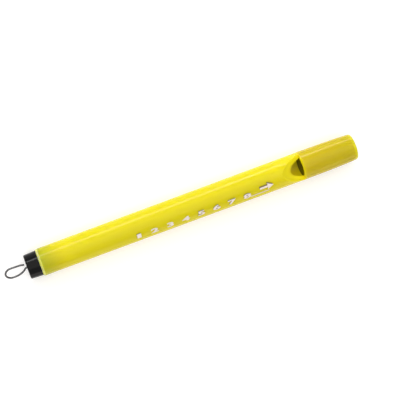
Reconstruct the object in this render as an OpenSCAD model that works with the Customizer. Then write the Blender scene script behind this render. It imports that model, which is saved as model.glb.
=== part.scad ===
// Slide whistle: a moulded tube with a fipple mouthpiece at one end and a sliding piston inside.
// A steel wire runs from the piston out through the stopper at the other end and ends in a pull loop.
// The whistle lies along X with the mouthpiece at +X and the sounding window facing up.
// The origin is under the middle of its length, on the surface that it lies on. Lengths are millimetres.

/* [Tube] */
// Length of the moulded tube, from the stopper's seam to the mouth end
barrel_len = 194; // [180:1:230]
// Outside diameter behind the rounded rim at the stopper end
tail_d = 16.0; // [15.6:0.1:17.5]
// Outside diameter at the window, the widest place
head_d = 16.8; // [16.4:0.1:18]
// Diameter of the bore that the piston slides in
bore_d = 12.0; // [11:0.1:12.6]
// Length of the rounded rim at the stopper end
rim_len = 1.3; // [0.6:0.1:2]
// How far that rim draws in
rim_drop = 0.55; // [0.2:0.05:0.7]

/* [Mouthpiece] */
// Length of the mouthpiece, from the window's step to the mouth end
head_len = 33.8; // [28:0.1:40]
// Outside diameter at the mouth end, before its edge is rounded
mouth_d = 15.5; // [15:0.1:16.4]
// Radius of the mouth end's outer edge
mouth_round = 0.9; // [0.3:0.1:1.2]
// How much wider the plug's socket is at the mouth end than the bore
socket_draft = 0.3; // [0.1:0.05:0.5]

/* [Window] */
// Depth of the step below the top of the tube
step_depth = 5.6; // [4.5:0.1:7]
// Length of the sloping ramp, from the step back to the tube's surface
ramp_len = 13.3; // [11:0.1:17]
// Radius of the step's outer edge
step_round = 0.35; // [0.2:0.05:0.5]

/* [Plug] */
// Height of the windway, the air slot left over the plug's flat, at its middle
windway_h = 1.4; // [0.9:0.1:1.8]
// How far the plug's outer face lies inside the mouth end
plug_recess = 0.3; // [0.2:0.1:1]
// Chamfer round the plug's outer end
plug_chamfer = 0.35; // [0.2:0.05:0.5]

/* [Stopper] */
// Length of the stopper's head outside the tube
cap_len = 7.3; // [5:0.1:9]
// Diameter of the head where it meets the tube
cap_d = 14.8; // [14:0.1:15]
// Diameter of the head at its outer face
cap_face_d = 14.2; // [13.5:0.1:14.7]
// Radius of the head's outer edge
cap_round = 0.8; // [0.3:0.1:1.2]
// Length of the skirt inside the bore
skirt_len = 9; // [7:0.5:14]
// Wall of the skirt
skirt_wall = 1.6; // [1.2:0.1:2]
// Outside diameter of the boss that guides the wire
boss_d = 4.4; // [3.6:0.1:5.2]
// Length of that boss, from the skirt's root
boss_len = 5; // [3:0.5:6]

/* [Pull loop] */
// Diameter of the steel wire
wire_d = 1.1; // [1:0.05:1.3]
// Outside width of the pull loop
loop_w = 8.5; // [8:0.1:10]
// Reach of the loop beyond the stopper's face, with the slide pushed in
loop_reach = 13.2; // [12.6:0.1:17]
// Sideways offset of the loop's middle from the tube's axis
loop_offset = 0.15; // [0:0.05:0.5]
// Radius of the bend where the wire leaves the stopper
exit_r = 1.4; // [1.3:0.1:2]
// Angle that the wire turns through in that bend
exit_bend = 50; // [47:1:60]
// Radius of the long shoulder that follows it
shoulder_r = 8.3; // [5:0.1:8.6]
// Angle that the return strand leans towards the axis
loop_lean = 2; // [0:1:6]
// Radius of the inward bend at the wire's free end
end_r = 8; // [5:0.5:10]
// Angle that the wire turns through in that bend
end_bend = 24; // [10:1:26]
// Gap between the wire's free end and the stopper's face
loop_gap = 1.1; // [0.8:0.1:3]
// Turn of the loop's plane about the tube's axis, from lying flat
loop_roll = 33; // [0:1:45]

/* [Piston] */
// Length of the piston between its end faces
piston_len = 11; // [9:0.5:14]
// Distance from the step back to the piston's front face, with the slide pushed in
piston_setback = 18; // [15:1:40]
// Diameter of the piston's core under the seal
core_d = 7.2; // [6:0.1:8]
// Width of the seal ring
seal_w = 3.6; // [2.5:0.1:5]
// Outside diameter of the two washers
washer_d = 5.4; // [4.6:0.1:6.4]
// Thickness of the two washers
washer_t = 0.6; // [0.4:0.1:1]
// Thickness of the wire's riveted head and of its flattened crimp
head_t = 0.8; // [0.6:0.1:1]
// Length of the flattened crimp
crimp_len = 1.5; // [1.2:0.1:2]

/* [Fits] */
// Radial clearance of the seal in the bore
seal_fit = 0.05; // [0.02:0.01:0.09]
// Radial clearance of the piston's flanges in the bore
flange_fit = 0.35; // [0.3:0.05:0.6]
// Radial clearance round the wire, in the stopper, the piston and the washers
wire_fit = 0.06; // [0.03:0.01:0.09]
// Radial clearance of the skirt in the bore and of the plug in its socket
press_fit = 0.02; // [0.01:0.01:0.04]
// End play left between the piston and each washer
end_play = 0.1; // [0.05:0.01:0.2]
// Gap left between the piston and the skirt when the slide is fully out
stop_gap = 0.4; // [0.3:0.1:1]

/* [Hidden] */
$fn = 72;

yellow = [0.90, 0.82, 0.06];
black = [0.05, 0.05, 0.055];
steel = [0.70, 0.71, 0.73];
rubber = [0.12, 0.12, 0.13];
ivory = [0.86, 0.85, 0.80];

overrun = 1.0;                 // how far a cut runs past the face it opens
arc_steps = 6;                 // straight lengths in a small rounded edge
head_steps = 10;               // straight lengths in the mouthpiece's long curve
bend_share = 1.01;             // the wire is a hair thicker where it is bent
inlet_share = 0.05;            // how far a straight length reaches into a bend, of its diameter
chamfer_share = 1 / 6;         // the spool's edge chamfer, of its flange's thickness
crown_share = 1 / 5;           // the seal's rounded edges, of its width
lead_share = 1 / 4;            // the skirt's lead-in, of its wall
dome_share = 0.7;              // the riveted head's flat top, of its radius

tail_r = tail_d / 2;
head_r = head_d / 2;
mouth_r = mouth_d / 2;
bore_r = bore_d / 2;
wire_r = wire_d / 2;
socket_r = bore_r + socket_draft / 2;
bend_r = wire_r * bend_share;
wire_inlet = wire_d * inlet_share;
wire_hole_r = wire_r + wire_fit;

// Places along the axis, measured from the middle of the whole length
axis_z = head_r;
mouth_x = (loop_reach + cap_len + barrel_len) / 2;
seam_x = mouth_x - barrel_len;
face_x = seam_x - cap_len;
step_x = mouth_x - head_len;
ramp_x = step_x - ramp_len;

// Heights above the axis: the foot of the step, and the plug's flat at both ends
step_z = head_r - step_depth;
flat_step_z = bore_r - windway_h;
flat_mouth_z = socket_r - windway_h;

// The piston with its washers, from the front face back, and the slide's travel
piston_front_x = step_x - piston_setback;
piston_back_x = piston_front_x - piston_len;
flange_r = bore_r - flange_fit;
flange_t = (piston_len - seal_w) / 2;
seal_r = bore_r - seal_fit;
rivet_x = piston_front_x + end_play + washer_t;
crimp_x = piston_back_x - end_play - washer_t;
slide_travel = piston_back_x - seam_x - skirt_len - stop_gap;

// The pull loop's centreline, in its own plane, from the stopper's face: the exit bend, a short
// rise, the shoulder, the crest, the half round far end, the return strand and the free end's bend
loop_top = loop_offset + loop_w / 2 - wire_r;
far_r = (loop_w - wire_d) / 2;
far_c = [-(loop_reach - bend_r - far_r), loop_offset];
exit_end = exit_r * [-sin(exit_bend), 1 - cos(exit_bend)];
rise_len = (loop_top - exit_end[1] - shoulder_r * (1 - cos(exit_bend))) / sin(exit_bend);
rise_end = exit_end + rise_len * [-cos(exit_bend), sin(exit_bend)];
shoulder_c = [rise_end[0] - shoulder_r * sin(exit_bend), loop_top - shoulder_r];
return_start = far_c + far_r * [sin(loop_lean), -cos(loop_lean)];
end_turn = loop_lean + end_bend;
end_start_x = -loop_gap - end_r * (sin(end_turn) - sin(loop_lean));
return_len = (end_start_x - return_start[0]) / cos(loop_lean);
return_end = return_start + return_len * [cos(loop_lean), sin(loop_lean)];
end_c = return_end + end_r * [-sin(loop_lean), cos(loop_lean)];

// Stands a shape that is drawn along Z on the tube's axis, starting at the place x
module on_axis(x) {
    translate([x, 0, axis_z]) rotate([0, 90, 0]) children();
}

// A bar across the tube with one outline in X and Z, its heights measured from the axis
module across(width, outline) {
    translate([0, width / 2, axis_z]) rotate([90, 0, 0]) linear_extrude(width) polygon(outline);
}

// The tube's outside as points of radius and distance from the seam
function tail_rim() = [for (i = [0 : arc_steps])
    let (a = 90 * i / arc_steps)
    [tail_r - rim_drop * (1 - sin(a)), rim_len * (1 - cos(a))]];
function mouthpiece_curve() = [for (i = [0 : head_steps])
    let (u = i / head_steps)
    [head_r - (head_r - mouth_r) * pow(u, 3),
     barrel_len - head_len + (head_len - mouth_round) * u]];
function mouth_edge() = [for (i = [1 : arc_steps])
    let (a = 90 * i / arc_steps)
    [mouth_r - mouth_round * (1 - cos(a)), barrel_len - mouth_round * (1 - sin(a))]];

module tube_outside() {
    on_axis(seam_x) rotate_extrude()
        polygon(concat([[0, 0]], tail_rim(), mouthpiece_curve(), mouth_edge(), [[0, barrel_len]]));
}

// The bore and the plug's slightly tapered socket, as one hollow
module tube_inside() {
    on_axis(seam_x) rotate_extrude() polygon([
        [0, -overrun],
        [bore_r, -overrun],
        [bore_r, barrel_len - head_len],
        [socket_r, barrel_len],
        [socket_r, barrel_len + overrun],
        [0, barrel_len + overrun]]);
}

// The notch over the window: an upright step at the mouthpiece and a flat ramp down to its foot.
// Where the ramp cuts into the bore it leaves the sharp lip that the air is blown against.
module window_notch() {
    across(head_d + overrun, [
        [step_x, step_z],
        [step_x, head_r + overrun],
        [ramp_x, head_r + overrun],
        [ramp_x, head_r]]);
}

// Rounds the step's curved outer edge, from the foot of the step upwards
module step_edge_round() {
    intersection() {
        on_axis(step_x) rotate_extrude() polygon(concat(
            [[head_r + overrun, -overrun], [head_r - step_round, -overrun]],
            [for (i = [0 : arc_steps])
                let (a = 90 * i / arc_steps)
                [head_r - step_round * (1 - sin(a)), step_round * (1 - cos(a))]],
            [[head_r + overrun, step_round]]));
        across(head_d + overrun, [
            [step_x - overrun, step_z],
            [step_x - overrun, head_r + overrun],
            [mouth_x, head_r + overrun],
            [mouth_x, step_z]]);
    }
}

module barrel() {
    color(yellow) difference() {
        tube_outside();
        tube_inside();
        window_notch();
        step_edge_round();
    }
}

// The black plug in the mouthpiece, its face flush with the step. The flat along its top leaves
// the windway open between it and the socket's round roof.
module fipple_plug() {
    plug_len = head_len - plug_recess;
    nose_r = bore_r - press_fit;
    taper = (socket_r - bore_r) / head_len;
    back_r = nose_r + taper * plug_len;
    color(black) difference() {
        on_axis(step_x) rotate_extrude() polygon([
            [0, 0],
            [nose_r, 0],
            [back_r - taper * plug_chamfer, plug_len - plug_chamfer],
            [back_r - plug_chamfer, plug_len],
            [0, plug_len]]);
        across(head_d, [
            [step_x - overrun, flat_step_z],
            [step_x, flat_step_z],
            [mouth_x, flat_mouth_z],
            [mouth_x, head_r],
            [step_x - overrun, head_r]]);
    }
}

// The black stopper: a tapered head outside, a skirt in the bore and a boss that guides the wire
module end_cap() {
    skirt_r = bore_r - press_fit;
    skirt_inner_r = skirt_r - skirt_wall;
    lead = skirt_wall * lead_share;
    face_r = cap_face_d / 2;
    color(black) on_axis(face_x) difference() {
        rotate_extrude() polygon(concat(
            [[0, 0]],
            [for (i = [0 : arc_steps])
                let (a = 90 * i / arc_steps)
                [face_r - cap_round * (1 - sin(a)), cap_round * (1 - cos(a))]],
            [[cap_d / 2, cap_len],
             [skirt_r, cap_len],
             [skirt_r, cap_len + skirt_len - lead],
             [skirt_r - lead, cap_len + skirt_len],
             [skirt_inner_r, cap_len + skirt_len],
             [skirt_inner_r, cap_len],
             [boss_d / 2, cap_len],
             [boss_d / 2, cap_len + boss_len],
             [0, cap_len + boss_len]]));
        translate([0, 0, -overrun]) cylinder(r = wire_hole_r, h = cap_len + boss_len + 2 * overrun);
    }
}

// A bent length of wire in the loop's plane: centre, bend radius, first angle and turn.
// It is a hair thicker than the straight lengths, so that their ends lie inside it.
module wire_arc(centre, radius, from, turn) {
    translate([centre[0], centre[1], 0]) rotate([0, 0, from])
        rotate_extrude(angle = turn) translate([radius, 0]) circle(r = bend_r);
}

// A straight length of wire in the loop's plane, let into the bend before it and the one after it
module wire_straight(start, direction, length) {
    translate([start[0], start[1], 0]) rotate([0, 0, direction]) rotate([0, 90, 0])
        translate([0, 0, -wire_inlet]) cylinder(r = wire_r, h = length + 2 * wire_inlet);
}

// The open loop, which starts as the rod leaves the stopper and ends short of the stopper's face
module pull_loop() {
    wire_arc([0, exit_r], exit_r, 270 - exit_bend, exit_bend);
    wire_straight(exit_end, 180 - exit_bend, rise_len);
    wire_arc(shoulder_c, shoulder_r, 90 - exit_bend, exit_bend);
    wire_straight([shoulder_c[0], loop_top], 180, shoulder_c[0] - far_c[0]);
    wire_arc(far_c, far_r, 90, 180 + loop_lean);
    wire_straight(return_start, loop_lean, return_len);
    wire_arc(end_c, end_r, 270 + loop_lean, end_bend);
}

// The steel wire: the loop, the rod through the stopper, a flattened crimp behind the rear washer
// and a head riveted over in front of the front washer
module pull_wire() {
    color(steel) {
        on_axis(face_x - wire_inlet)
            cylinder(r = wire_r, h = wire_inlet + rivet_x + head_t / 2 - face_x);
        translate([face_x, 0, axis_z]) rotate([180 + loop_roll, 0, 0]) pull_loop();
        on_axis(rivet_x) rotate_extrude() polygon([
            [0, 0],
            [wire_d, 0],
            [wire_d, head_t / 2],
            [wire_d * dome_share, head_t],
            [0, head_t]]);
        intersection() {
            on_axis(crimp_x - crimp_len) cylinder(r = wire_d, h = crimp_len);
            translate([crimp_x - crimp_len, -wire_d, axis_z - head_t / 2])
                cube([crimp_len, 2 * wire_d, head_t]);
        }
    }
}

// The moulded spool that carries the seal
module piston_spool() {
    edge = flange_t * chamfer_share;
    color(ivory) on_axis(piston_back_x) difference() {
        rotate_extrude() polygon([
            [0, 0],
            [flange_r - edge, 0],
            [flange_r, edge],
            [flange_r, flange_t],
            [core_d / 2, flange_t],
            [core_d / 2, flange_t + seal_w],
            [flange_r, flange_t + seal_w],
            [flange_r, piston_len - edge],
            [flange_r - edge, piston_len],
            [0, piston_len]]);
        translate([0, 0, -overrun]) cylinder(r = wire_hole_r, h = piston_len + 2 * overrun);
    }
}

// The soft ring between the spool's flanges, with rounded edges where it meets the bore
module piston_seal() {
    crown = seal_w * crown_share;
    color(rubber) on_axis(piston_back_x + flange_t) rotate_extrude() polygon(concat(
        [[core_d / 2, 0]],
        [for (i = [0 : arc_steps])
            let (a = 90 * i / arc_steps)
            [seal_r - crown * (1 - sin(a)), crown * (1 - cos(a))]],
        [for (i = [0 : arc_steps])
            let (a = 90 * i / arc_steps)
            [seal_r - crown * (1 - cos(a)), seal_w - crown * (1 - sin(a))]],
        [[core_d / 2, seal_w]]));
}

module washer(x) {
    color(steel) on_axis(x) difference() {
        cylinder(d = washer_d, h = washer_t);
        translate([0, 0, -overrun]) cylinder(r = wire_hole_r, h = washer_t + 2 * overrun);
    }
}

module front_washer() {
    washer(piston_front_x + end_play);
}

module rear_washer() {
    washer(crimp_x);
}

barrel();
fipple_plug();
end_cap();
pull_wire();
piston_spool();
piston_seal();
front_washer();
rear_washer();
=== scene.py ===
"""Looks of the slide whistle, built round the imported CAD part.

Metres, in the CAD part's own frame: +X along the tube to the mouth end, +Z out of the window.
"""

import math

import bmesh
import bpy
from mathutils import Matrix, Vector


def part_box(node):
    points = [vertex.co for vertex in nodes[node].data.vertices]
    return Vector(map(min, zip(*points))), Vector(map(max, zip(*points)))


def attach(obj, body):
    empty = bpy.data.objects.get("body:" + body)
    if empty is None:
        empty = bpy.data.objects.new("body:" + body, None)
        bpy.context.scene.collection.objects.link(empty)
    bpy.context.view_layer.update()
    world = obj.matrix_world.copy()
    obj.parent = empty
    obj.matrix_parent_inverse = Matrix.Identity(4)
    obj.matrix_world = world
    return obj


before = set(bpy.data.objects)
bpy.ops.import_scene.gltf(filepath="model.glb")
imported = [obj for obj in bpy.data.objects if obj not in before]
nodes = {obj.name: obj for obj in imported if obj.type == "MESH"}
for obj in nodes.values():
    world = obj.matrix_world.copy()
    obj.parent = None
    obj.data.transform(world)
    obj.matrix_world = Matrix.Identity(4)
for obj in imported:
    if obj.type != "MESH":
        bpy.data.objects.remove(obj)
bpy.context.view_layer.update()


# Yellow tube
# One injection moulding in glossy yellow plastic: the tube, its mouthpiece, and the window with its
# satin ramp. Light sinks into the plastic. Painted shade darkens the tail's last stretch and the
# mouthpiece round the black plug, a painted highlight lightens the rim at the stopper, and painted
# light brightens the bore. The colour drifts a little along the flow, and the surface is faintly
# wavy.

MM = 0.001
tube_low, tube_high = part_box("barrel")
AXIS_Z = (tube_low.z + tube_high.z) / 2
SEAM_X = tube_low.x                     # where the stopper's head meets the tube
MOUTH_X = tube_high.x
STEP_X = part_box("fipple_plug")[0].x     # the window's step, flush with the plug's face

YELLOW = (0.83, 0.64, 0.002)
YELLOW_DRIFT = (0.81, 0.615, 0.002)
# Painted shade on the tail's last stretch, a pale painted highlight on the rim at the stopper,
# painted shade on the mouthpiece round the plug, and lighter painted shade at the mouth end's edge.
TAIL_PAINTED_SHADE = (0.44, 0.44, 0.006)
RIM_PAINTED_HIGHLIGHT = (0.93, 0.88, 0.20)
PLUG_PAINTED_SHADE = (0.56, 0.43, 0.002)
MOUTH_EDGE_PAINTED_SHADE = (0.62, 0.52, 0.004)
# Painted light in the bore, brighter than the outside.
BORE_PAINTED_LIGHT = (1.0, 0.80, 0.006)
TUBE_ROUGH = (0.13, 0.21)
TUBE_GLOSS = 0.18
MOULD_WAVE = 0.02 * MM

# Painted shade and light along the tube, each from where it starts to where it is whole: painted
# shade on the tail's last stretch, a painted highlight on the drawn-in rim at the stopper, painted
# shade on the mouthpiece round the plug, and lighter painted shade at the edge of the mouth end.
PAINTED_SHADE_AND_LIGHT = (
    (SEAM_X + 18.0 * MM, SEAM_X, TAIL_PAINTED_SHADE),
    (SEAM_X + 1.5 * MM, SEAM_X + 0.9 * MM, RIM_PAINTED_HIGHLIGHT),
    (STEP_X - 0.2 * MM, STEP_X + 0.8 * MM, PLUG_PAINTED_SHADE),
    (MOUTH_X - 2.4 * MM, MOUTH_X - 1.2 * MM, MOUTH_EDGE_PAINTED_SHADE),
)

# Distances from the axis between which the outside's colour goes over to the bore's painted light.
BORE_FADE = (8.0 * MM, 6.6 * MM)
SINK_DEPTH = 9.0 * MM                   # how deep light sinks into the wall
SINK_SHARES = (1.0, 0.9, 0.04)          # of that depth, for red, green and blue light
WALL_SINK = 1.0                         # how much of the light sinks in, outside and in the bore
BORE_SINK = 0.5

# The ramp's satin face: inside these distances from the axis, and between these places.
RAMP_ROUGH = 0.45
RAMP_DEPTH = (8.3 * MM, 8.1 * MM)
RAMP_START = (STEP_X - 14.0 * MM, STEP_X - 13.5 * MM)
RAMP_END = (STEP_X + 0.6 * MM, STEP_X + 0.1 * MM)

# Patches to the metre of the colour's drift, the waviness and the fine unevenness of the gloss.
DRIFT_SCALE = 60
WAVE_SCALE = 140
GLOSS_SCALE = 900
NOISE_LOW = 0.3                         # noise seldom leaves this middle band of 0 to 1
NOISE_HIGH = 0.7


def new_finish(name):
    """An empty node material, with its shader and Object coordinates."""
    made = bpy.data.materials.new(name)
    made.use_nodes = True
    tree = made.node_tree
    tree.nodes.clear()
    out = tree.nodes.new("ShaderNodeOutputMaterial")
    shader = tree.nodes.new("ShaderNodeBsdfPrincipled")
    coords = tree.nodes.new("ShaderNodeTexCoord")
    tree.links.new(shader.outputs["BSDF"], out.inputs["Surface"])
    return made, tree, shader, coords


def unevenness(tree, coords, scale, stretch=(1, 1, 1), detail=3.0):
    """Noise over Object coordinates. A stretch below 1 draws it out along that axis."""
    place = tree.nodes.new("ShaderNodeMapping")
    place.inputs["Scale"].default_value = stretch
    tree.links.new(coords.outputs["Object"], place.inputs["Vector"])
    made = tree.nodes.new("ShaderNodeTexNoise")
    made.inputs["Scale"].default_value = scale
    made.inputs["Detail"].default_value = detail
    tree.links.new(place.outputs["Vector"], made.inputs["Vector"])
    return made.outputs["Fac"]


def spread(tree, value, low, high):
    """Maps noise on to low to high."""
    made = tree.nodes.new("ShaderNodeMapRange")
    made.inputs["From Min"].default_value = NOISE_LOW
    made.inputs["From Max"].default_value = NOISE_HIGH
    made.inputs["To Min"].default_value = low
    made.inputs["To Max"].default_value = high
    tree.links.new(value, made.inputs["Value"])
    return made.outputs["Result"]


def between(tree, value, first, second):
    """A colour between two, by a value from 0 to 1."""
    made = tree.nodes.new("ShaderNodeMix")
    made.data_type = "RGBA"
    made.inputs["A"].default_value = (*first, 1)
    made.inputs["B"].default_value = (*second, 1)
    tree.links.new(value, made.inputs["Factor"])
    return made.outputs["Result"]


def along_tube(tree, coords, first, last):
    """A value that goes from 0 at one place along the tube to 1 at another."""
    parts = tree.nodes.new("ShaderNodeSeparateXYZ")
    made = tree.nodes.new("ShaderNodeMapRange")
    made.interpolation_type = "SMOOTHSTEP"
    made.inputs["From Min"].default_value = first
    made.inputs["From Max"].default_value = last
    tree.links.new(coords.outputs["Object"], parts.inputs["Vector"])
    tree.links.new(parts.outputs["X"], made.inputs["Value"])
    return made.outputs["Result"]


def toward_axis(tree, coords, first, last):
    """A value that goes from 0 at one distance from the tube's axis to 1 at a smaller one."""
    place = tree.nodes.new("ShaderNodeMapping")
    distance = tree.nodes.new("ShaderNodeVectorMath")
    made = tree.nodes.new("ShaderNodeMapRange")
    place.inputs["Location"].default_value = (0, 0, -AXIS_Z)
    place.inputs["Scale"].default_value = (0, 1, 1)
    distance.operation = "LENGTH"
    made.interpolation_type = "SMOOTHSTEP"
    made.inputs["From Min"].default_value = first
    made.inputs["From Max"].default_value = last
    tree.links.new(coords.outputs["Object"], place.inputs["Vector"])
    tree.links.new(place.outputs["Vector"], distance.inputs[0])
    tree.links.new(distance.outputs["Value"], made.inputs["Value"])
    return made.outputs["Result"]


def tint(tree, value, colour, other):
    """Takes a colour over to another one where the value is 1."""
    made = tree.nodes.new("ShaderNodeMix")
    made.data_type = "RGBA"
    made.inputs["B"].default_value = (*other, 1)
    tree.links.new(colour, made.inputs["A"])
    tree.links.new(value, made.inputs["Factor"])
    return made.outputs["Result"]


def waves(tree, shader, value, depth):
    """Bump of the given depth from a value."""
    made = tree.nodes.new("ShaderNodeBump")
    made.inputs["Strength"].default_value = 1.0
    made.inputs["Distance"].default_value = depth
    tree.links.new(value, made.inputs["Height"])
    tree.links.new(made.outputs["Normal"], shader.inputs["Normal"])


def moulded(name, colour, drift, rough, wave, gloss=0.5, sink=0.0):
    """A moulding's finish: two near colours, a band of roughness, and waves of the given depth."""
    made, tree, shader, coords = new_finish(name)
    patches = spread(tree, unevenness(tree, coords, DRIFT_SCALE, stretch=(0.3, 1, 1)), 0, 1)
    tree.links.new(between(tree, patches, colour, drift), shader.inputs["Base Color"])
    grain = unevenness(tree, coords, GLOSS_SCALE, stretch=(0.5, 1, 1), detail=4)
    tree.links.new(spread(tree, grain, *rough), shader.inputs["Roughness"])
    swell = unevenness(tree, coords, WAVE_SCALE, stretch=(0.4, 1, 1), detail=2)
    waves(tree, shader, swell, wave)
    shader.inputs["Specular IOR Level"].default_value = gloss
    if sink:
        shader.inputs["Subsurface Weight"].default_value = sink
        shader.inputs["Subsurface Radius"].default_value = SINK_SHARES
        shader.inputs["Subsurface Scale"].default_value = SINK_DEPTH
    return made


def dress(node, material):
    """Puts a material on a CAD node."""
    part = nodes[node]
    part.data.materials.clear()
    part.data.materials.append(material)


yellow_plastic = moulded("yellow_plastic", YELLOW, YELLOW_DRIFT, TUBE_ROUGH, MOULD_WAVE,
                         gloss=TUBE_GLOSS, sink=WALL_SINK)
tree = yellow_plastic.node_tree
coords = tree.nodes["Texture Coordinate"]
shader = tree.nodes["Principled BSDF"]
colour = shader.inputs["Base Color"].links[0].from_socket
# Painted shade and the rim's painted highlight, laid over the colour along the tube.
for start, whole, painted_tone in PAINTED_SHADE_AND_LIGHT:
    colour = tint(tree, along_tube(tree, coords, start, whole), colour, painted_tone)
# Painted light in the bore: its colour is brighter than the outside's.
in_bore = toward_axis(tree, coords, *BORE_FADE)
colour = tint(tree, in_bore, colour, BORE_PAINTED_LIGHT)
tree.links.new(colour, shader.inputs["Base Color"])

sunk_light = tree.nodes.new("ShaderNodeMapRange")
sunk_light.inputs["To Min"].default_value = WALL_SINK
sunk_light.inputs["To Max"].default_value = BORE_SINK
tree.links.new(in_bore, sunk_light.inputs["Value"])
tree.links.new(sunk_light.outputs["Result"], shader.inputs["Subsurface Weight"])

on_ramp = toward_axis(tree, coords, *RAMP_DEPTH)
for start, whole in (RAMP_START, RAMP_END):
    product = tree.nodes.new("ShaderNodeMath")
    product.operation = "MULTIPLY"
    tree.links.new(on_ramp, product.inputs[0])
    tree.links.new(along_tube(tree, coords, start, whole), product.inputs[1])
    on_ramp = product.outputs["Value"]
satin = tree.nodes.new("ShaderNodeMix")
satin.inputs["B"].default_value = RAMP_ROUGH
tree.links.new(on_ramp, satin.inputs["Factor"])
tree.links.new(shader.inputs["Roughness"].links[0].from_socket, satin.inputs["A"])
tree.links.new(satin.outputs["Result"], shader.inputs["Roughness"])
dress("barrel", yellow_plastic)


# Black plug and stopper
# Two smaller mouldings in black plastic. The plug is pressed into the mouthpiece and leaves the
# windway open over its flat, and the stopper's skirt is pressed into the other end of the tube.

BLACK = (0.0006, 0.0006, 0.0008)
BLACK_DRIFT = (0.0012, 0.0012, 0.0015)
BLACK_ROUGH = (0.10, 0.15)
BLACK_GLOSS = 0.13

black_plastic = moulded("black_plastic", BLACK, BLACK_DRIFT, BLACK_ROUGH, MOULD_WAVE,
                        gloss=BLACK_GLOSS)
dress("fipple_plug", black_plastic)
dress("end_cap", black_plastic)


# Pull wire and washers
# Drawn steel wire, bent cold to the pull loop and riveted over at its other end, where two washers
# stamped from sheet hold the piston. The drawing leaves fine marks along the wire.

WIRE_DARK = (0.05, 0.05, 0.053)
WIRE_LIGHT = (0.14, 0.14, 0.143)
WIRE_ROUGH = (0.24, 0.36)
WASHER_DARK = (0.44, 0.44, 0.45)
WASHER_LIGHT = (0.58, 0.58, 0.59)
WASHER_ROUGH = (0.30, 0.42)
MARK_SCALE = 3000                       # tool marks to the metre, and their depth
MARK_DEPTH = 0.004 * MM


def bare_steel(name, dark, light, rough, stretch=(1, 1, 1)):
    """Bare steel with fine tool marks, drawn out as the stretch says."""
    made, tree, shader, coords = new_finish(name)
    marks = unevenness(tree, coords, MARK_SCALE, stretch, detail=4)
    tree.links.new(between(tree, spread(tree, marks, 0, 1), dark, light),
                   shader.inputs["Base Color"])
    tree.links.new(spread(tree, marks, *rough), shader.inputs["Roughness"])
    waves(tree, shader, marks, MARK_DEPTH)
    shader.inputs["Metallic"].default_value = 1.0
    return made


drawn_steel = bare_steel("drawn_steel", WIRE_DARK, WIRE_LIGHT, WIRE_ROUGH, stretch=(0.1, 1, 1))
stamped_steel = bare_steel("stamped_steel", WASHER_DARK, WASHER_LIGHT, WASHER_ROUGH)
dress("pull_wire", drawn_steel)
dress("front_washer", stamped_steel)
dress("rear_washer", stamped_steel)


# Piston
# A spool moulded in off-white plastic, free to turn on the end of the wire. A ring of soft black
# rubber is slipped into its groove and rubs on the wall of the bore.

IVORY = (0.70, 0.68, 0.60)
IVORY_DRIFT = (0.64, 0.62, 0.54)
IVORY_ROUGH = (0.35, 0.50)
RUBBER = (0.012, 0.012, 0.012)
RUBBER_DRIFT = (0.02, 0.02, 0.02)
RUBBER_ROUGH = (0.60, 0.78)
RUBBER_GLOSS = 0.3
RUBBER_WAVE = 0.01 * MM

ivory_plastic = moulded("ivory_plastic", IVORY, IVORY_DRIFT, IVORY_ROUGH, MOULD_WAVE)
seal_rubber = moulded("seal_rubber", RUBBER, RUBBER_DRIFT, RUBBER_ROUGH, RUBBER_WAVE,
                      gloss=RUBBER_GLOSS)
dress("piston_spool", ivory_plastic)
dress("piston_seal", seal_rubber)


# Printed numbers
# Eight plain numbers in a row along the tube, pad-printed in white ink. Five of them were first
# printed in dark ink a little higher, which shows as an edge over the white.

scene = bpy.context.scene
HEAD_R = (tube_high.z - tube_low.z) / 2  # the tube's outside radius at the step and at the stopper
TAIL_R = 8.0 * MM
NUMBERS = 8
EDGED_NUMBERS = "15678"
NUMBER_START = SEAM_X + 57.75 * MM
NUMBER_PITCH = 9.45 * MM
NUMBER_TURN = math.radians(30)          # round the tube, from the window's side towards -Y
NUMBER_SIZE = 4.1 * MM
NUMBER_WIDEN = 2.2
ONE_WIDEN = 3.6                         # the 1 is narrow, so it is widened more
STROKE_SHARE = 0.035                    # how far strokes are fattened, as a share of the size
CURVE_STEPS = 4
EDGE_SHIFT = (-0.1 * MM, 0.35 * MM, 0)  # of the dark print, along the tube and up round it
FIRST_LIFT = 0.05 * MM                  # how far the first and the second print lie off the tube
SECOND_LIFT = 0.08 * MM
STRIP = 0.4 * MM                        # width of the flat strips that follow the tube's curve

WHITE = (0.90, 0.80, 0.72)
WHITE_PATCH = (0.84, 0.72, 0.60)
DARK = (0.10, 0.06, 0.01)
DARK_PATCH = (0.16, 0.10, 0.02)
INK_ROUGH = (0.35, 0.55)
PATCH_SCALE = 1500                      # patches of thinner ink and of gloss to the metre
INK_GLOSS_SCALE = 2500


def ink(name, colour, patch):
    """Printing ink: flat, a little uneven, and duller than the plastic."""
    made, tree, shader, coords = new_finish(name)
    thin = spread(tree, unevenness(tree, coords, PATCH_SCALE), 0, 1)
    tree.links.new(between(tree, thin, colour, patch), shader.inputs["Base Color"])
    tree.links.new(spread(tree, unevenness(tree, coords, INK_GLOSS_SCALE), *INK_ROUGH),
                   shader.inputs["Roughness"])
    return made


white_ink = ink("white_ink", WHITE, WHITE_PATCH)
dark_ink = ink("dark_ink", DARK, DARK_PATCH)


def tube_radius(x):
    """The tube's outside radius between the stopper's seam and the window's step."""
    return TAIL_R + (HEAD_R - TAIL_R) * (x - SEAM_X) / (STEP_X - SEAM_X)


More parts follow.
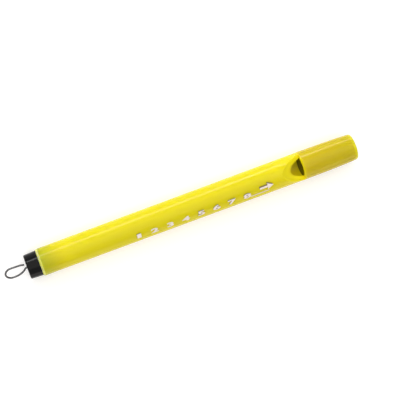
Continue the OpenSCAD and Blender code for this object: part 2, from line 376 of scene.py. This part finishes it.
def print_on_tube(name, mesh, x, turn, lift, material):
    """Cuts a flat mesh into strips and lays it on the tube: its X runs along the tube and its Y
    up round it, from the given place."""
    low = min(v.co.y for v in mesh.vertices)
    high = max(v.co.y for v in mesh.vertices)
    bm = bmesh.new()
    bm.from_mesh(mesh)
    for i in range(1, int((high - low) / STRIP) + 1):
        bmesh.ops.bisect_plane(bm, geom=bm.verts[:] + bm.edges[:] + bm.faces[:],
                               plane_co=(0, low + i * STRIP, 0), plane_no=(0, 1, 0))
    for v in bm.verts:
        r = tube_radius(x + v.co.x) + lift
        a = turn - v.co.y / r
        v.co = Vector((x + v.co.x, -r * math.sin(a), AXIS_Z + r * math.cos(a)))
    bmesh.ops.recalc_face_normals(bm, faces=bm.faces[:])
    bm.to_mesh(mesh)
    bm.free()
    outward = Vector((0, -math.sin(turn), math.cos(turn)))
    if sum(p.normal.dot(outward) * p.area for p in mesh.polygons) < 0:
        mesh.flip_normals()
    mesh.materials.clear()
    mesh.materials.append(material)
    made = bpy.data.objects.new(name, mesh)
    scene.collection.objects.link(made)
    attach(made, "whistle_body")


def digit(text, size, widen):
    """A plain digit as a flat mesh, its middle at the origin."""
    curve = bpy.data.curves.new("digit", "FONT")
    curve.body = text
    curve.size = size
    curve.resolution_u = CURVE_STEPS
    curve.offset = size * STROKE_SHARE
    holder = bpy.data.objects.new("digit", curve)
    scene.collection.objects.link(holder)
    bpy.context.view_layer.update()
    flat = bpy.data.meshes.new_from_object(holder.evaluated_get(
        bpy.context.evaluated_depsgraph_get()))
    bpy.data.objects.remove(holder)
    bpy.data.curves.remove(curve)
    xs = [v.co.x for v in flat.vertices]
    ys = [v.co.y for v in flat.vertices]
    middle = Vector(((min(xs) + max(xs)) / 2, (min(ys) + max(ys)) / 2, 0))
    flat.transform(Matrix.Diagonal((widen, 1, 1, 1)) @ Matrix.Translation(-middle))
    return flat


for i in range(NUMBERS):
    number = str(i + 1)
    x = NUMBER_START + i * NUMBER_PITCH
    widen = ONE_WIDEN if number == "1" else NUMBER_WIDEN
    if number in EDGED_NUMBERS:
        edge = digit(number, NUMBER_SIZE, widen)
        edge.transform(Matrix.Translation(EDGE_SHIFT))
        print_on_tube("number_edge_" + number, edge, x, NUMBER_TURN, FIRST_LIFT, dark_ink)
    print_on_tube("number_" + number, digit(number, NUMBER_SIZE, widen), x, NUMBER_TURN,
                  SECOND_LIFT, white_ink)


# Printed arrow and rule
# A plain arrow towards the mouth end, with a dark edge over it, and a thin white rule lower down.
# They are pad-printed between the numbers and the window, in the same two inks.

ARROW_X = SEAM_X + 136.2 * MM
ARROW_TURN = math.radians(20)
ARROW_EDGE_SHIFT = (-0.3 * MM, 0.8 * MM, 0)
RULE_X = SEAM_X + 131.7 * MM
RULE_TURN = math.radians(39)

# Corners in millimetres.
ARROW = [(-4.2, -0.4), (0.6, -0.4), (0.6, -1.7), (4.2, 0.2), (0.6, 2.1), (0.6, 0.8), (-4.2, 0.8)]
RULE = [(-5.6, -0.28), (5.6, -0.28), (5.6, 0.28), (-5.6, 0.28)]


def flat_shape(name, corners):
    """A flat mesh of one face, from corners in millimetres."""
    bm = bmesh.new()
    bm.faces.new([bm.verts.new((x * MM, y * MM, 0)) for x, y in corners])
    made = bpy.data.meshes.new(name)
    bm.to_mesh(made)
    bm.free()
    return made


arrow_edge = flat_shape("arrow_edge", ARROW)
arrow_edge.transform(Matrix.Translation(ARROW_EDGE_SHIFT))
print_on_tube("arrow_edge", arrow_edge, ARROW_X, ARROW_TURN, FIRST_LIFT, dark_ink)
print_on_tube("arrow", flat_shape("arrow", ARROW), ARROW_X, ARROW_TURN, SECOND_LIFT, white_ink)
print_on_tube("arrow_rule", flat_shape("arrow_rule", RULE), RULE_X, RULE_TURN, FIRST_LIFT,
              white_ink)


# Camera
# Set from the photograph: the line that the tube's axis makes in it, the lens that fits the
# tube's taper, and how far the window is turned below the line of sight.

PIXELS = 400
FOCAL_PIXELS = 1235.0
FOOT_PIXEL = (201.05, 202.85)           # the axis's nearest point to the picture's centre
FOOT_X = SEAM_X + 98.2 * MM
FOOT_DEPTH = 709.9 * MM
AXIS_SLOPE = math.radians(20.3)         # of the axis in the picture, rising to the right
AWAY = math.radians(7.9)                # tilt of the mouth end away from the camera
WINDOW_BELOW = math.radians(12.0)       # turn of the window below the line of sight
SENSOR_WIDTH = 36.0
CLIP_NEAR = 0.01
CLIP_FAR = 20.0

tube_way = Vector((math.cos(AXIS_SLOPE) * math.cos(AWAY), math.sin(AXIS_SLOPE) * math.cos(AWAY),
                   -math.sin(AWAY)))
toward = (Vector((0, 0, 1)) - tube_way * tube_way.z).normalized()
upward = toward.cross(tube_way)
window_way = toward * math.cos(WINDOW_BELOW) - upward * math.sin(WINDOW_BELOW)
side_way = window_way.cross(tube_way)
from_camera = Matrix((tube_way, side_way, window_way))
foot = Vector(((FOOT_PIXEL[0] - PIXELS / 2) / FOCAL_PIXELS * FOOT_DEPTH,
               (PIXELS / 2 - FOOT_PIXEL[1]) / FOCAL_PIXELS * FOOT_DEPTH, -FOOT_DEPTH))

camera_data = bpy.data.cameras.new("camera")
camera_data.sensor_width = SENSOR_WIDTH
camera_data.lens = SENSOR_WIDTH * FOCAL_PIXELS / PIXELS
camera_data.clip_start = CLIP_NEAR
camera_data.clip_end = CLIP_FAR
camera_data.dof.use_dof = False
camera = bpy.data.objects.new("camera", camera_data)
camera.rotation_mode = "QUATERNION"
camera.location = Vector((FOOT_X, 0, AXIS_Z)) - from_camera @ foot
camera.rotation_quaternion = from_camera.to_quaternion()
scene.collection.objects.link(camera)
scene.camera = camera


# Lamps
# Soft boxes. A long narrow one draws the highlight along the tube, a broad one behind the camera
# lights what faces it, and one low in the picture lifts the tube's lower edge.

WARM = (1.0, 0.95, 0.88)
WARMER = (1.0, 0.84, 0.76)


def soft_box(name, first, last, width, power, colour=(1, 1, 1)):
    """A soft box that faces the whistle. Its two ends are given in metres from the whistle, by
    picture directions: right, up, towards the camera."""
    data = bpy.data.lights.new(name, "AREA")
    data.shape = "RECTANGLE"
    data.size = (Vector(last) - Vector(first)).length
    data.size_y = width
    data.energy = power
    data.color = colour
    made = bpy.data.objects.new(name, data)
    length_way = (from_camera @ (Vector(last) - Vector(first))).normalized()
    middle = from_camera @ ((Vector(first) + Vector(last)) / 2)
    back = (middle - length_way * middle.dot(length_way)).normalized()
    made.location = Vector((0, 0, AXIS_Z)) + middle
    made.rotation_mode = "QUATERNION"
    made.rotation_quaternion = Matrix((length_way, back.cross(length_way),
                                       back)).transposed().to_quaternion()
    scene.collection.objects.link(made)


soft_box("long_box", first=(-0.40, 0.557, 0.740), last=(0.20, 1.009, 0.023), width=0.12,
         power=4.4)
soft_box("front_box", first=(-1.0, 0.15, 1.5), last=(1.0, 0.15, 1.5), width=2.0, power=13.0,
         colour=WARM)
soft_box("low_box", first=(-0.8, -1.0, -0.03), last=(1.0, -1.0, -0.03), width=0.32, power=2.6,
         colour=WARMER)


# Floor
# A sheet of matt white paper that the whistle lies on. The camera sees it as pure white, but for a
# very pale shadow.

FLOOR_HALF = 4.0
PAPER = (0.85, 0.85, 0.85, 1)
PAPER_LIFT = 0.28                       # the white that is added for rays that see the paper


def seen_directly(tree):
    """1 for rays from the camera and for those that gloss, metal or a clear piece sends on."""
    path = tree.nodes.new("ShaderNodeLightPath")
    first = tree.nodes.new("ShaderNodeMath")
    second = tree.nodes.new("ShaderNodeMath")
    second.use_clamp = True
    tree.links.new(path.outputs["Is Camera Ray"], first.inputs[0])
    tree.links.new(path.outputs["Is Glossy Ray"], first.inputs[1])
    tree.links.new(first.outputs["Value"], second.inputs[0])
    tree.links.new(path.outputs["Is Transmission Ray"], second.inputs[1])
    return second.outputs["Value"]


bm = bmesh.new()
bmesh.ops.create_grid(bm, x_segments=1, y_segments=1, size=FLOOR_HALF)
floor_mesh = bpy.data.meshes.new("floor")
bm.to_mesh(floor_mesh)
bm.free()
floor = bpy.data.objects.new("floor", floor_mesh)
scene.collection.objects.link(floor)

paper = bpy.data.materials.new("paper")
paper.use_nodes = True
tree = paper.node_tree
tree.nodes.clear()
out = tree.nodes.new("ShaderNodeOutputMaterial")
both = tree.nodes.new("ShaderNodeAddShader")
matt = tree.nodes.new("ShaderNodeBsdfDiffuse")
glow = tree.nodes.new("ShaderNodeEmission")
lift = tree.nodes.new("ShaderNodeMath")
matt.inputs["Color"].default_value = PAPER
glow.inputs["Color"].default_value = (1, 1, 1, 1)
lift.operation = "MULTIPLY"
lift.inputs[1].default_value = PAPER_LIFT
tree.links.new(seen_directly(tree), lift.inputs[0])
tree.links.new(lift.outputs["Value"], glow.inputs["Strength"])
tree.links.new(matt.outputs["BSDF"], both.inputs[0])
tree.links.new(glow.outputs["Emission"], both.inputs[1])
tree.links.new(both.outputs["Shader"], out.inputs["Surface"])
floor_mesh.materials.append(paper)


# Surroundings
# An even white room. It lights the whistle at a lower strength than the white that the camera,
# gloss and metal see.

ROOM_LIGHT = 0.63
ROOM_SEEN = 1.0

world = bpy.data.worlds.new("world")
scene.world = world
world.use_nodes = True
tree = world.node_tree
tree.nodes.clear()
out = tree.nodes.new("ShaderNodeOutputWorld")
choose = tree.nodes.new("ShaderNodeMixShader")
light = tree.nodes.new("ShaderNodeBackground")
white = tree.nodes.new("ShaderNodeBackground")
light.inputs["Color"].default_value = (1, 1, 1, 1)
light.inputs["Strength"].default_value = ROOM_LIGHT
white.inputs["Color"].default_value = (1, 1, 1, 1)
white.inputs["Strength"].default_value = ROOM_SEEN
tree.links.new(seen_directly(tree), choose.inputs["Fac"])
tree.links.new(light.outputs["Background"], choose.inputs[1])
tree.links.new(white.outputs["Background"], choose.inputs[2])
tree.links.new(choose.outputs["Shader"], out.inputs["Surface"])

scene.view_settings.view_transform = "Standard"
